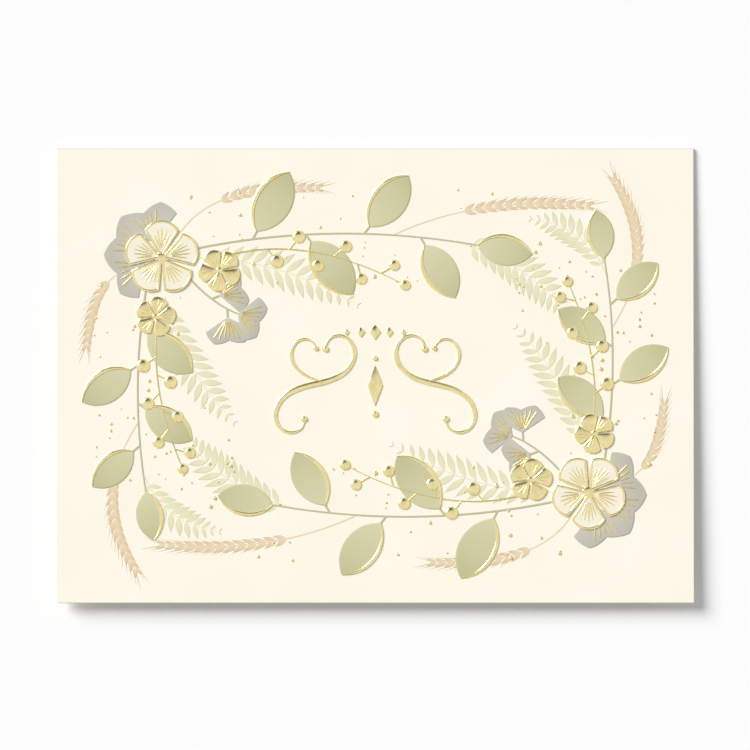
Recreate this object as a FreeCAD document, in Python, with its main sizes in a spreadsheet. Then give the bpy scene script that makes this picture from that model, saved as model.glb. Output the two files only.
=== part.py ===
import FreeCAD, Part
import math
import os

import Sketcher

# Folded greeting card lying on its back leaf, fold along the top edge (+Y).
# The front leaf springs open a little and carries an embossed garland in two
# opposite corners with a scroll ornament between them.
# The origin is the middle of the card's footprint, +Z points up from the table.

doc = FreeCAD.newDocument("greeting_card")

# Driving sizes in millimetres, the open angle in degrees

SIZES = (
    ("card_width", 177.8),
    ("card_height", 127.0),
    ("stock_thickness", 0.35),
    ("fold_inside_radius", 0.25),
    ("open_angle", 1.3),
    ("side_border", 5.0),
    ("end_border", 9.0),
    ("print_level", 0.08),
    ("foil_level", 0.26),
    ("petal_level", 0.36),
    ("bead_level", 0.42),
    ("stem_width", 0.55),
    ("stalk_length", 2.4),
    ("leaf_length", 19.0),
    ("rim_width", 1.0),
    ("fan_radius", 12.0),
    ("open_blossom_radius", 10.5),
    ("blossom_radius", 6.0),
    ("blossom_distance", 16.5),
    ("bead_radius", 1.9),
    ("bead_bevel", 0.4),
    ("scroll_length", 56.0),
    ("scroll_stroke", 1.5),
    ("lozenge_height", 11.0),
)

sheet = doc.addObject("Spreadsheet::Sheet", "Sizes")
for row, (name, value) in enumerate(SIZES, start=1):
    sheet.set(f"A{row}", name)
    sheet.set(f"B{row}", str(value))
    sheet.setAlias(f"B{row}", name)
doc.recompute()


def size(name):
    """Gives one driving size from the sheet."""
    return float(getattr(sheet, name))


# Paper: one sheet folded in two, drawn as its section and padded to the card's width

def add_section(body):
    """Draws the folded sheet's section in the YZ plane: back leaf, fold and sprung front leaf."""
    sketch = body.newObject("Sketcher::SketchObject", "fold_section")
    plane = next(f for f in body.Origin.OriginFeatures if f.Role == "YZ_Plane")
    sketch.AttachmentSupport = [(plane, "")]
    sketch.MapMode = "FlatFace"

    half = size("card_height") / 2
    inner = size("fold_inside_radius")
    outer = inner + size("stock_thickness")
    alpha = math.radians(size("open_angle"))
    axis = FreeCAD.Vector(half - outer, outer, 0)
    outward = FreeCAD.Vector(math.sin(alpha), math.cos(alpha), 0)
    along = FreeCAD.Vector(-math.cos(alpha), math.sin(alpha), 0)
    leaf = size("card_height") - outer
    up = FreeCAD.Vector(0, 0, 1)

    back_edge_low = FreeCAD.Vector(-half, 0, 0)
    back_edge_high = FreeCAD.Vector(-half, outer - inner, 0)
    fold_low = axis - FreeCAD.Vector(0, outer, 0)
    fold_low_inner = axis - FreeCAD.Vector(0, inner, 0)
    fold_high = axis + outward * outer
    fold_high_inner = axis + outward * inner
    front_edge_high = fold_high + along * leaf
    front_edge_low = fold_high_inner + along * leaf

    def arc(radius):
        circle = Part.Circle(axis, up, radius)
        return Part.ArcOfCircle(circle, -math.pi / 2, math.pi / 2 - alpha)

    back_under = sketch.addGeometry(Part.LineSegment(back_edge_low, fold_low))
    fold_outer = sketch.addGeometry(arc(outer))
    front_over = sketch.addGeometry(Part.LineSegment(fold_high, front_edge_high))
    front_edge = sketch.addGeometry(Part.LineSegment(front_edge_high, front_edge_low))
    front_under = sketch.addGeometry(Part.LineSegment(front_edge_low, fold_high_inner))
    fold_inner = sketch.addGeometry(arc(inner))
    back_over = sketch.addGeometry(Part.LineSegment(fold_low_inner, back_edge_high))
    back_edge = sketch.addGeometry(Part.LineSegment(back_edge_high, back_edge_low))

    start, end, centre = 1, 2, 3
    origin = (-1, 1)

    def constrain(kind, *where):
        return sketch.addConstraint(Sketcher.Constraint(kind, *where))

    def drive(name, kind, *where, formula):
        index = constrain(kind, *where)
        sketch.renameConstraint(index, name)
        sketch.setExpression(f"Constraints.{name}", formula)

    constrain("Tangent", back_under, end, fold_outer, start)
    constrain("Tangent", fold_outer, end, front_over, start)
    constrain("Coincident", front_over, end, front_edge, start)
    constrain("Coincident", front_edge, end, front_under, start)
    constrain("Tangent", front_under, end, fold_inner, end)
    constrain("Tangent", fold_inner, start, back_over, start)
    constrain("Coincident", back_over, end, back_edge, start)
    constrain("Coincident", back_edge, end, back_under, start)
    constrain("Coincident", fold_inner, centre, fold_outer, centre)
    constrain("Horizontal", back_under)
    constrain("Horizontal", back_over)
    constrain("Parallel", front_under, front_over)
    constrain("Vertical", back_edge)
    constrain("Perpendicular", front_over, front_edge)
    constrain("DistanceY", *origin, back_under, start, 0.0)
    drive("half_height", "DistanceX", back_under, start, *origin, half,
          formula="Sizes.card_height / 2")
    drive("fold_axis", "DistanceX", back_under, start, fold_outer, centre,
          size("card_height") - outer,
          formula="Sizes.card_height - Sizes.fold_inside_radius - Sizes.stock_thickness")
    drive("inside_radius", "Radius", fold_inner, inner,
          formula="Sizes.fold_inside_radius")
    drive("outside_radius", "Radius", fold_outer, outer,
          formula="Sizes.fold_inside_radius + Sizes.stock_thickness")
    drive("front_leaf", "Distance", front_over, leaf,
          formula="Sizes.card_height - Sizes.fold_inside_radius - Sizes.stock_thickness")
    drive("spring", "Angle", front_over, end, back_under, start, alpha,
          formula="Sizes.open_angle")
    return sketch


def add_paper():
    """Pads the section to the card's width, half to each side."""
    body = doc.addObject("PartDesign::Body", "paper")
    section = add_section(body)
    doc.recompute()
    pad = body.newObject("PartDesign::Pad", "width")
    pad.Profile = section
    pad.SideType = "Symmetric"
    pad.setExpression("Length", "Sizes.card_width")
    body.Tip = pad
    return body


paper = add_paper()
doc.recompute()

# Places on the front leaf: x to the right, y towards the fold, z out of the paper.
# A place is given as shares of the art panel, which stays inside the bare borders.

PANEL = (
    size("card_width") / 2 - size("side_border"),
    size("card_height") / 2 - size("end_border"),
)
ROOT = size("stock_thickness") / 2


def place(across, along):
    """Turns shares of the art panel into a point on the front leaf."""
    return FreeCAD.Vector(across * PANEL[0], along * PANEL[1], 0)


def go(start, distance, angle):
    """Steps from a point by a distance in a direction."""
    return start + FreeCAD.Vector(distance * math.cos(angle), distance * math.sin(angle), 0)


def face(edges):
    """Closes edges into a flat face."""
    return Part.Face(Part.Wire(edges))


def polygon(points):
    """Makes a flat face with straight sides."""
    return Part.Face(Part.makePolygon(points + points[:1]))


def raised(flat, level):
    """Pad of a flat face: rooted halfway into the paper, its top at a level above it."""
    foot = flat.copy()
    foot.translate(FreeCAD.Vector(0, 0, -ROOT))
    return foot.extrude(FreeCAD.Vector(0, 0, ROOT + size(level)))


class Branch:
    """A curved stem from a start to an end, bent towards a pull point."""

    def __init__(self, start, pull, end):
        self.start = place(*start)
        self.pull = place(*pull)
        self.end = place(*end)

    def at(self, share):
        """Point at a share of the way along the stem."""
        rest = 1 - share
        return self.start * rest ** 2 + self.pull * (2 * rest * share) + self.end * share ** 2

    def heading(self, share):
        """Direction of growth at a share of the way along."""
        step = (self.pull - self.start) * (1 - share) + (self.end - self.pull) * share
        return math.atan2(step.y, step.x)

    def ribbon(self, width):
        """Flat strip of the stem's width, thinner at its end."""
        half = width / 2
        thin = half * 0.7
        turn = self.heading(1) - self.heading(0)
        square = math.pi / 2

        def side(sign):
            middle = self.heading(0) + turn / 2 + sign * square
            return Part.BezierCurve(), [
                go(self.start, half, self.heading(0) + sign * square),
                go(self.pull, (half + thin) / 2 / math.cos(turn / 2), middle),
                go(self.end, thin, self.heading(1) + sign * square),
            ]

        left, left_poles = side(1)
        right, right_poles = side(-1)
        left.setPoles(left_poles)
        right.setPoles(right_poles)
        return face([
            left.toShape(),
            Part.makeLine(left_poles[-1], right_poles[-1]),
            right.toShape(),
            Part.makeLine(right_poles[0], left_poles[0]),
        ])


def stalk(start, end, width):
    """Short straight strip that joins a leaf or bead to its stem."""
    heading = math.atan2(end.y - start.y, end.x - start.x)
    side = heading + math.pi / 2
    return polygon([
        go(start, width / 2, side),
        go(end, width / 2, side),
        go(end, -width / 2, side),
        go(start, -width / 2, side),
    ])


# Round leaves with a raised foil rim along one side

LEAF_SWELL = 0.28
LEAF_SPREAD = math.radians(54)


def bow(base, angle, length, bulge):
    """Arc from a leaf's base to its tip, bulging to the left of its direction."""
    middle = go(go(base, length / 2, angle), bulge, angle + math.pi / 2)
    return Part.Arc(base, middle, go(base, length, angle)).toShape()


def leaf(base, angle, length):
    """Pointed oval leaf between two arcs."""
    swell = length * LEAF_SWELL
    return face([bow(base, angle, length, swell), bow(base, angle, length, -swell)])


def rim(base, angle, length, side):
    """Crescent along one side of a leaf, from its base to its tip."""
    swell = side * length * LEAF_SWELL
    inner = swell - side * size("rim_width")
    return face([bow(base, angle, length, swell), bow(base, angle, length, inner)])


def leaf_places(branch, shares, scales):
    """Base, direction, length and rim side of each leaf on a branch, the last on its tip."""
    for index, (share, scale) in enumerate(zip(shares, scales)):
        foot = branch.at(share)
        length = size("leaf_length") * scale
        if index == len(shares) - 1:
            yield foot, foot, branch.heading(share), length, 1
            continue
        side = 1 if index % 2 == 0 else -1
        angle = branch.heading(share) + side * LEAF_SPREAD
        yield foot, go(foot, size("stalk_length"), angle), angle, length, side


# Fans: wedge leaves with a scalloped edge and a cleft in the middle

FAN_HALF = math.radians(60)
FAN_LOBES = 4
FAN_CLEFT = 0.74
FAN_SHOULDER = 0.86
FAN_LOBE_RISE = 0.08


def fan(base, angle, radius):
    """Wedge leaf from its foot, its far edge made of shallow arcs."""
    def edge_point(step):
        turn = FAN_HALF * (2 * step / FAN_LOBES - 1)
        near_cleft = step == FAN_LOBES // 2
        at_corner = step in (0, FAN_LOBES)
        share = FAN_CLEFT if near_cleft else FAN_SHOULDER if at_corner else 0.97
        return go(base, radius * share, angle + turn)

    corners = [edge_point(step) for step in range(FAN_LOBES + 1)]
    edges = [Part.makeLine(base, corners[0])]
    for near, far in zip(corners, corners[1:]):
        chord = far - near
        outward = FreeCAD.Vector(chord.y, -chord.x, 0)
        crown = (near + far) / 2 + outward * FAN_LOBE_RISE
        edges.append(Part.Arc(near, crown, far).toShape())
    edges.append(Part.makeLine(corners[-1], base))
    return face(edges)


# Blossoms of five petals, beads and the sprays that carry them

PETALS = 5
PETAL_FILL = 0.88
PETAL_SHOULDER = 0.86
HEART_SHARE = 0.19
BEAD_SIDES = 10
BEAD_COUNT = 7
FIRST_BEAD = 0.28
BEAD_TAPER = 0.25
BEAD_SPREAD = math.radians(55)
BEAD_REACH = 2.3


def petal(centre, angle, radius):
    """Petal from the blossom's centre: two straight sides and a round outer end."""
    half = math.pi / PETALS * PETAL_FILL
    left = go(centre, radius * PETAL_SHOULDER, angle + half)
    right = go(centre, radius * PETAL_SHOULDER, angle - half)
    crown = go(centre, radius, angle)
    return face([
        Part.makeLine(centre, left),
        Part.Arc(left, crown, right).toShape(),
        Part.makeLine(right, centre),
    ])


def bead(middle, radius):
    """Low bead cut with flat sides that lean in towards its top."""
    def ring(around, height):
        corners = [
            go(middle, around, 2 * math.pi * index / BEAD_SIDES) + FreeCAD.Vector(0, 0, height)
            for index in range(BEAD_SIDES)
        ]
        return Part.makePolygon(corners + corners[:1])

    top = radius - size("bead_bevel")
    return Part.makeLoft([ring(radius, -ROOT), ring(top, size("bead_level"))], True, True)


def petal_angles(first):
    """Directions of the petals, the first one given in degrees."""
    return [math.radians(first) + 2 * math.pi * index / PETALS for index in range(PETALS)]


def bead_places(branch):
    """Middle and radius of each bead on a spray, to either side of it, the last on its tip."""
    last = BEAD_COUNT - 1
    for index in range(BEAD_COUNT):
        share = FIRST_BEAD + (1 - FIRST_BEAD) * index / last
        radius = size("bead_radius") * (1 - BEAD_TAPER * index / BEAD_COUNT)
        side = 1 if index % 2 else -1
        angle = branch.heading(share) + side * BEAD_SPREAD
        step = 0 if index == last else size("bead_radius") * BEAD_REACH
        yield go(branch.at(share), step, angle), radius


# One corner garland; the other is the same, turned half round

HEART = place(-0.71, 0.60)
LEAF_BRANCHES = (
    (Branch((-0.62, 0.64), (-0.14, 0.80), (0.36, 0.66)),
     (0.22, 0.40, 0.60, 0.79, 0.98), (1.00, 1.00, 0.95, 0.90, 0.82)),
    (Branch((-0.76, 0.46), (-0.82, -0.08), (-0.76, -0.62)),
     (0.20, 0.38, 0.56, 0.76, 0.98), (0.88, 0.86, 0.84, 0.80, 0.72)),
)
FAN_BRANCH = Branch((-0.62, 0.50), (-0.54, 0.36), (-0.45, 0.31))
FAN_SHARES = (0.46, 0.76, 0.96)
SMALL_FAN = 0.72
FAN_SPREAD = math.radians(58)
HEART_FANS = ((112, 0.95), (156, 1.00), (200, 0.92))
HEART_FAN_STEP = 0.42
BEAD_BRANCHES = (
    Branch((-0.52, 0.60), (-0.24, 0.74), (0.10, 0.46)),
    Branch((-0.72, 0.30), (-0.76, -0.06), (-0.64, -0.48)),
)
SIDE_BLOSSOMS = ((-12, 46, 1.00), (-96, 6, 0.94))
OPEN_BLOSSOM_TURN = 18


def printed_leaves():
    """Flat fields of the round leaves with their stems."""
    width = size("stem_width")
    fields = []
    for branch, shares, scales in LEAF_BRANCHES:
        fields.append(branch.ribbon(width))
        for foot, base, angle, length, _ in leaf_places(branch, shares, scales):
            fields.append(leaf(base, angle, length))
            if base != foot:
                fields.append(stalk(foot, go(base, width, angle), width))
    return fields


def printed_fans():
    """Flat fields of the fans, three behind the heart and three on a sprig."""
    width = size("stem_width")
    fields = [FAN_BRANCH.ribbon(width)]
    for turn, scale in HEART_FANS:
        angle = math.radians(turn)
        foot = go(HEART, size("fan_radius") * HEART_FAN_STEP, angle)
        fields.append(fan(foot, angle, size("fan_radius") * scale))
    for index, share in enumerate(FAN_SHARES):
        foot = FAN_BRANCH.at(share)
        angle = FAN_BRANCH.heading(share)
        base = foot
        if index < len(FAN_SHARES) - 1:
            angle += FAN_SPREAD if index % 2 == 0 else -FAN_SPREAD
            base = go(foot, size("stalk_length"), angle)
            fields.append(stalk(foot, go(base, width, angle), width))
        fields.append(fan(base, angle, size("fan_radius") * SMALL_FAN))
    return fields


def leaf_rims():
    """Raised foil rims of one garland's leaves."""
    return [
        rim(base, angle, length, side)
        for branch, shares, scales in LEAF_BRANCHES
        for _, base, angle, length, side in leaf_places(branch, shares, scales)
    ]


def blossoms():
    """Middle, radius and first petal of the open blossom at the heart and the two beside it."""
    yield HEART, size("open_blossom_radius"), OPEN_BLOSSOM_TURN
    for turn, first, scale in SIDE_BLOSSOMS:
        middle = go(HEART, size("blossom_distance"), math.radians(turn))
        yield middle, size("blossom_radius") * scale, first


def petals():
    """Raised petals of one garland's blossoms."""
    return [
        petal(middle, angle, radius)
        for middle, radius, first in blossoms()
        for angle in petal_angles(first)
    ]


def garland_beads():
    """Beads of the two sprays and the hearts of the three blossoms."""
    beads = [bead(middle, radius * HEART_SHARE) for middle, radius, _ in blossoms()]
    for branch in BEAD_BRANCHES:
        beads += [bead(middle, radius) for middle, radius in bead_places(branch)]
    return beads


def both_ways(shapes):
    """Adds the second garland: the same shapes turned half round the card's middle."""
    turned = []
    for shape in shapes:
        copy = shape.copy()
        copy.rotate(FreeCAD.Vector(0, 0, 0), FreeCAD.Vector(0, 0, 1), 180)
        turned.append(copy)
    return shapes + turned


# Scroll ornament in the middle: strokes whose bend changes evenly along them

SCROLL_POINTS = 16
SCROLL_PLACE = (0.30, -0.045)
SCROLL_LEAN = math.radians(-12)
MAIN_TURN = 4.6
SIDE_TURN = 4.3
SIDE_LEAN = math.radians(16)
SIDE_LENGTH = 0.42
SIDE_STROKE = 0.6
THIN_SHARE = 0.24
SIDE_ROOT = 0.045
SCROLL_BEAD = 0.60
SIDE_BEAD = 0.47
LOZENGE_SHARE = 0.38
LOZENGE_DROP = 0.045
UPPER_BEAD = 0.70
LOWER_BEAD = 0.72
CREST_RISE = 1.36
CREST_STEP = 0.36
CREST_ASPECT = 1.3
CREST_SHARES = {-2: 0.06, -1: 0.095, 0: 0.14, 1: 0.095, 2: 0.06}


def spiral(length, first_bend, last_bend, middle_at_origin):
    """Points and directions along a stroke whose bend runs evenly from first to last."""
    step = length / SCROLL_POINTS
    point = FreeCAD.Vector(0, 0, 0)
    heading = 0.0
    track = [(point, heading)]
    for index in range(SCROLL_POINTS):
        bend = first_bend + (last_bend - first_bend) * (index + 0.5) / SCROLL_POINTS
        point = go(point, step, heading + bend * step / 2)
        heading += bend * step
        track.append((point, heading))
    if not middle_at_origin:
        return track
    middle, lean = track[SCROLL_POINTS // 2]
    level = FreeCAD.Rotation(FreeCAD.Vector(0, 0, 1), -math.degrees(lean))
    return [(level.multVec(spot - middle), turn - lean) for spot, turn in track]


def bends(line):
    """Arcs through a row of points, three at a time."""
    return [
        Part.Arc(line[index], line[index + 1], line[index + 2]).toShape()
        for index in range(0, len(line) - 2, 2)
    ]


def stroke(origin, angle, track, width, mirrored):
    """Swelled line along a track, thin at both ends; gives its face and its end points."""
    square = math.pi / 2
    turn = FreeCAD.Rotation(FreeCAD.Vector(0, 0, 1), math.degrees(angle))
    thin = width * THIN_SHARE
    left, right, spine = [], [], []
    for index, (spot, heading) in enumerate(track):
        swell = math.sin(math.pi * index / (len(track) - 1))
        half = (thin + (width - thin) * swell) / 2
        middle = origin + turn.multVec(spot)
        sides = [middle, go(middle, half, heading + angle + square),
                 go(middle, -half, heading + angle + square)]
        if mirrored:
            sides = [FreeCAD.Vector(-side.x, side.y, 0) for side in sides]
        spine.append(sides[0])
        left.append(sides[1])
        right.append(sides[2])
    edges = bends(left) + [Part.makeLine(left[-1], right[-1])]
    edges += bends(right[::-1]) + [Part.makeLine(right[0], left[0])]
    return face(edges), spine[0], spine[-1]


def lozenge(middle, half_width, half_height):
    """Upright four-sided figure."""
    return polygon([
        middle + FreeCAD.Vector(0, half_height, 0),
        middle + FreeCAD.Vector(half_width, 0, 0),
        middle - FreeCAD.Vector(0, half_height, 0),
        middle - FreeCAD.Vector(half_width, 0, 0),
    ])


def ornament():
    """Faces and beads of the scroll ornament, the same to the left and right."""
    lines = []
    beads = []
    length = size("scroll_length")
    width = size("scroll_stroke")
    half = length / 2
    side = length * SIDE_LENGTH
    origin = FreeCAD.Vector(SCROLL_PLACE[0] * length, SCROLL_PLACE[1] * length, 0)
    side_origin = go(origin, -length * SIDE_ROOT, SCROLL_LEAN)
    main_track = spiral(length, 2 * MAIN_TURN / half, -2 * MAIN_TURN / half, True)
    side_track = spiral(side, 0.0, 2 * SIDE_TURN / side, False)
    for mirrored in (False, True):
        line, first, last = stroke(origin, SCROLL_LEAN, main_track, width, mirrored)
        lines.append(line)
        beads += [bead(first, width * SCROLL_BEAD), bead(last, width * SCROLL_BEAD)]
        line, _, last = stroke(side_origin, SIDE_LEAN, side_track, width * SIDE_STROKE, mirrored)
        lines.append(line)
        beads.append(bead(last, width * SIDE_BEAD))
    height = size("lozenge_height")
    middle = FreeCAD.Vector(0, origin.y - height * LOZENGE_DROP, 0)
    up = FreeCAD.Vector(0, height, 0)
    lines.append(lozenge(middle, height * LOZENGE_SHARE / 2, height / 2))
    beads.append(bead(middle - up * LOWER_BEAD, width * SCROLL_BEAD))
    beads.append(bead(middle + up * UPPER_BEAD, width * SIDE_BEAD))
    for step, share in CREST_SHARES.items():
        spot = middle + up * CREST_RISE + FreeCAD.Vector(step * height * CREST_STEP, 0, 0)
        lines.append(lozenge(spot, height * share, height * share * CREST_ASPECT))
    return lines, beads


# Relief on the front leaf, placed with the leaf as it springs open

FOLD_RADIUS = "(Sizes.fold_inside_radius + Sizes.stock_thickness)"
FOLD_AXIS = f"(Sizes.card_height / 2 - {FOLD_RADIUS})"
LEAF_FRAME = {
    "Placement.Rotation.Angle": "-Sizes.open_angle",
    "Placement.Base.y": f"{FOLD_AXIS} * (1 - cos(Sizes.open_angle)) + {FOLD_RADIUS} * sin(Sizes.open_angle)",
    "Placement.Base.z": f"{FOLD_RADIUS} * (1 + cos(Sizes.open_angle)) + {FOLD_AXIS} * sin(Sizes.open_angle)",
}


def add_relief(name, solids):
    """Joins overlapping pads and lays them on the front leaf, z = 0 at the paper's outer face."""
    relief = doc.addObject("Part::Feature", name)
    relief.Shape = solids[0].multiFuse(solids[1:])
    tilt = FreeCAD.Rotation(FreeCAD.Vector(1, 0, 0), -size("open_angle"))
    relief.Placement = FreeCAD.Placement(FreeCAD.Vector(0, 0, 0), tilt)
    for path, formula in LEAF_FRAME.items():
        relief.setExpression(path, formula)
    return relief


def add_reliefs():
    """Adds the printed fields, the foil lines, the petals and the beads, each at its level."""
    scroll_lines, scroll_beads = ornament()
    fields = [raised(flat, "print_level") for flat in printed_leaves() + printed_fans()]
    rims = [raised(flat, "foil_level") for flat in leaf_rims()]
    scrolls = [raised(flat, "foil_level") for flat in scroll_lines]
    domes = [raised(flat, "petal_level") for flat in petals()]
    return [
        add_relief("printed_fields", both_ways(fields)),
        add_relief("foil_lines", both_ways(rims) + scrolls),
        add_relief("blossom_petals", both_ways(domes)),
        add_relief("beads", both_ways(garland_beads()) + scroll_beads),
    ]


reliefs = add_reliefs()
doc.recompute()

# The finished card: paper and relief are one piece

card = doc.addObject("Part::MultiFuse", "folded_card")
card.Label = "folded_card"
card.Shapes = [paper] + reliefs
card.Refine = True
doc.recompute()

for item in doc.Objects:
    if "Invalid" in item.State or "Error" in item.State:
        raise RuntimeError(f"{item.Label} failed: {item.State}")
if card.Shape.isNull() or not card.Shape.isValid() or len(card.Shape.Solids) != 1:
    raise RuntimeError("folded_card is not one valid solid")

os.makedirs("parts", exist_ok=True)
card.Shape.exportStep("parts/folded_card.step")
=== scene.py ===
import math
import random

import bmesh
import bpy
from mathutils import Matrix, Vector, noise


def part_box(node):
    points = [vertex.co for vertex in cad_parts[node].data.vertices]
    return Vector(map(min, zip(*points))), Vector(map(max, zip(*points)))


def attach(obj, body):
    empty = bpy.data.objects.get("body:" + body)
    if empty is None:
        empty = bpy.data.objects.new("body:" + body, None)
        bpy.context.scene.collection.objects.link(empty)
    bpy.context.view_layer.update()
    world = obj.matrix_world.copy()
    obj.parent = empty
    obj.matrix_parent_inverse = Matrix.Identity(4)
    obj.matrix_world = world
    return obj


# Folded greeting card seen from straight above: cream card with a printed, embossed and
# foiled garland in two opposite corners and a foil scroll ornament between them.
# The design is laid out in millimetres on the front leaf (x right, y towards the fold,
# z out of the paper) and then placed on the card as it springs open.

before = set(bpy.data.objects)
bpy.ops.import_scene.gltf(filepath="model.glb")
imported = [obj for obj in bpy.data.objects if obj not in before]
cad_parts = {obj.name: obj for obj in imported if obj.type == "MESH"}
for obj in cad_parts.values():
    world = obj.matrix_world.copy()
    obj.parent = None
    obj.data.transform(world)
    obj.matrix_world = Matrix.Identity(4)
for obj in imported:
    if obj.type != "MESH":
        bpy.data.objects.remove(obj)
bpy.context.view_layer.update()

MM = 0.001
CARD = "folded_card"
LOW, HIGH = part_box(CARD)
CARD_WIDTH = (HIGH[0] - LOW[0]) / MM
CARD_HEIGHT = (HIGH[1] - LOW[1]) / MM

# Sizes of the card and its relief in millimetres, the same as the solid's.
# COVER is how far each motif's skin stands out from the solid's motif, SUNK is how deep its
# foot goes into the card, and LAP keeps motifs that overlap from lying in one plane.

FOLD_OUTSIDE = 0.60
OPEN_ANGLE = math.radians(1.3)
SIDE_BORDER = 5.0
END_BORDER = 9.0
PRINT_LEVEL = 0.08
FOIL_LEVEL = 0.26
PETAL_LEVEL = 0.36
BEAD_LEVEL = 0.42
COVER = 0.04
SUNK = -0.08
LAP = 0.0015

STEM_WIDTH = 0.55
STEM_STEPS = 40
STALK_LENGTH = 2.4
STALK_STEPS = 4
RAY_STEPS = 6
LEAF_LENGTH = 19.0
LEAF_SWELL = 0.28
LEAF_SPREAD = math.radians(54)
RIM_WIDTH = 1.0
FAN_RADIUS = 12.0
FAN_HALF = math.radians(60)
FAN_LOBES = 4
FAN_CLEFT = 0.74
FAN_SHOULDER = 0.86
FAN_LOBE_RISE = 0.08
PETALS = 5
PETAL_FILL = 0.88
PETAL_SHOULDER = 0.86
OPEN_BLOSSOM = 10.5
CLOSED_BLOSSOM = 6.0
BEAD_RADIUS = 1.9
BEAD_SPREAD = math.radians(55)
BEAD_REACH = 2.3
HEART_SHARE = 0.19
BEAD_COUNT = 7
FIRST_BEAD = 0.28
BEAD_TAPER = 0.25
BLOSSOM_DISTANCE = 16.5

PANEL = Vector((CARD_WIDTH / 2 - SIDE_BORDER, CARD_HEIGHT / 2 - END_BORDER))
FOLD_AXIS = CARD_HEIGHT / 2 - FOLD_OUTSIDE
LEAF_ORIGIN = Vector((
    0,
    FOLD_AXIS * (1 - math.cos(OPEN_ANGLE)) + FOLD_OUTSIDE * math.sin(OPEN_ANGLE),
    FOLD_OUTSIDE * (1 + math.cos(OPEN_ANGLE)) + FOLD_AXIS * math.sin(OPEN_ANGLE),
))
FRONT = (
    Matrix.Translation(LEAF_ORIGIN * MM)
    @ Matrix.Rotation(-OPEN_ANGLE, 4, "X")
    @ Matrix.Scale(MM, 4)
)


# Small helpers for places and directions on the front leaf

def place(across, along):
    """Turns shares of the art panel into a point on the front leaf."""
    return Vector((across * PANEL.x, along * PANEL.y))


def polar(reach, angle):
    """Vector of a length in a direction."""
    return Vector((reach * math.cos(angle), reach * math.sin(angle)))


def turned(points, angle):
    """Points turned about the origin."""
    turn = Matrix.Rotation(angle, 2)
    return [turn @ point for point in points]


class Branch:
    """A curved stem from a start to an end, bent towards a pull point."""

    def __init__(self, start, pull, end):
        self.start = place(*start)
        self.pull = place(*pull)
        self.end = place(*end)

    def at(self, share):
        """Point at a share of the way along the stem."""
        rest = 1 - share
        return self.start * rest ** 2 + self.pull * (2 * rest * share) + self.end * share ** 2

    def heading(self, share):
        """Direction of growth at a share of the way along."""
        step = (self.pull - self.start) * (1 - share) + (self.end - self.pull) * share
        return math.atan2(step.y, step.x)

    def track(self):
        """Evenly stepped points along the stem."""
        return [self.at(step / STEM_STEPS) for step in range(STEM_STEPS + 1)]


# Nodes: one function adds a node with its settings and links

MATH = "ShaderNodeMath"
NAMED = "GeometryNodeInputNamedAttribute"


def wire(node, inputs):
    """Sets inputs of a node; each is a value, a socket, or a node whose first output is linked."""
    for key, value in inputs.items():
        if isinstance(value, bpy.types.Node):
            value = value.outputs[0]
        if isinstance(value, bpy.types.NodeSocket):
            node.id_data.links.new(value, node.inputs[key])
        else:
            node.inputs[key].default_value = value


def add(tree, kind, settings=None, inputs=None):
    """Adds a node with its settings and inputs."""
    node = tree.nodes.new(kind)
    for name, value in (settings or {}).items():
        setattr(node, name, value)
    wire(node, inputs or {})
    return node


def linear(hex_colour):
    """Turns an sRGB hex colour into the linear colour that shaders use."""
    channels = [int(hex_colour[start:start + 2], 16) / 255 for start in (1, 3, 5)]
    channels = [c / 12.92 if c <= 0.04045 else ((c + 0.055) / 1.055) ** 2.4 for c in channels]
    return (*channels, 1.0)


def set_stops(ramp, stops):
    """Sets (position, hex) stops on a colour ramp's node and gives the node back."""
    elements = ramp.color_ramp.elements
    while len(elements) < len(stops):
        elements.new(0.5)
    for element, (position, colour) in zip(elements, stops):
        element.position = position
        element.color = linear(colour)
    return ramp


def noise_scale(size_mm):
    """Scale of a noise whose grains are about a size in millimetres."""
    return 1 / (size_mm * MM)


def new_material(name):
    """Empty material; gives it with its tree, its shader and the places on the piece."""
    material = bpy.data.materials.new(name)
    material.use_nodes = True
    tree = material.node_tree
    where = add(tree, "ShaderNodeTexCoord").outputs["Object"]
    return material, tree, tree.nodes["Principled BSDF"], where


# Materials; the sizes of their patterns are in millimetres

CLOUD_SIZE = 26.0
TOOTH_SIZE = 0.7
SPECKLE_SIZE = 0.9
CRINKLE_SIZE = 1.6
HAZE_SIZE = 60.0
TOOTH_DEPTH = 0.012
# Width of the painted shade over the fold's rounding
FOLD_SHADE_REACH = 0.3


def cream_card():
    """Uncoated cover card, rolled smooth.

    To the eye it is matt and even, with faint clouds of fibre and a fine tooth. Over the
    fold's rounding its colour is painted darker, a painted shade against the lamp's bright
    line there. The tooth's real grain of about 0.1 mm is drawn at 0.7 mm, or it would not show.
    """
    material, tree, shader, where = new_material("smooth_uncoated_cream_card")
    clouds = add(tree, "ShaderNodeTexNoise", inputs={
        "Vector": where, "Scale": noise_scale(CLOUD_SIZE), "Detail": 2.0,
    })
    tooth = add(tree, "ShaderNodeTexNoise", inputs={
        "Vector": where, "Scale": noise_scale(TOOTH_SIZE), "Detail": 4.0,
    })
    cream = set_stops(add(tree, "ShaderNodeValToRGB", inputs={"Fac": clouds}),
                      ((0.30, "#fcf6e5"), (0.70, "#fef9ea")))
    place_on_card = add(tree, "ShaderNodeSeparateXYZ", inputs={"Vector": where})
    # Painted shade: over the fold's rounding the cream is mixed towards a greyer cream, so that the
    # lamp lights no bright line there
    fold = add(tree, "ShaderNodeMapRange", inputs={
        "Value": place_on_card.outputs["Y"],
        "From Min": FOLD_AXIS * MM,
        "From Max": (FOLD_AXIS + FOLD_SHADE_REACH) * MM,
    })
    fold_shaded = add(tree, "ShaderNodeMix", {"data_type": "RGBA"}, {
        "Factor": fold, 6: cream, 7: linear("#dfd8c6"),
    })
    relief = add(tree, "ShaderNodeBump", inputs={"Height": tooth, "Distance": TOOTH_DEPTH * MM})
    wire(shader, {
        "Base Color": fold_shaded.outputs[2],
        "Roughness": 0.72,
        "Specular IOR Level": 0.30,
        "Normal": relief,
    })
    return material


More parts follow.
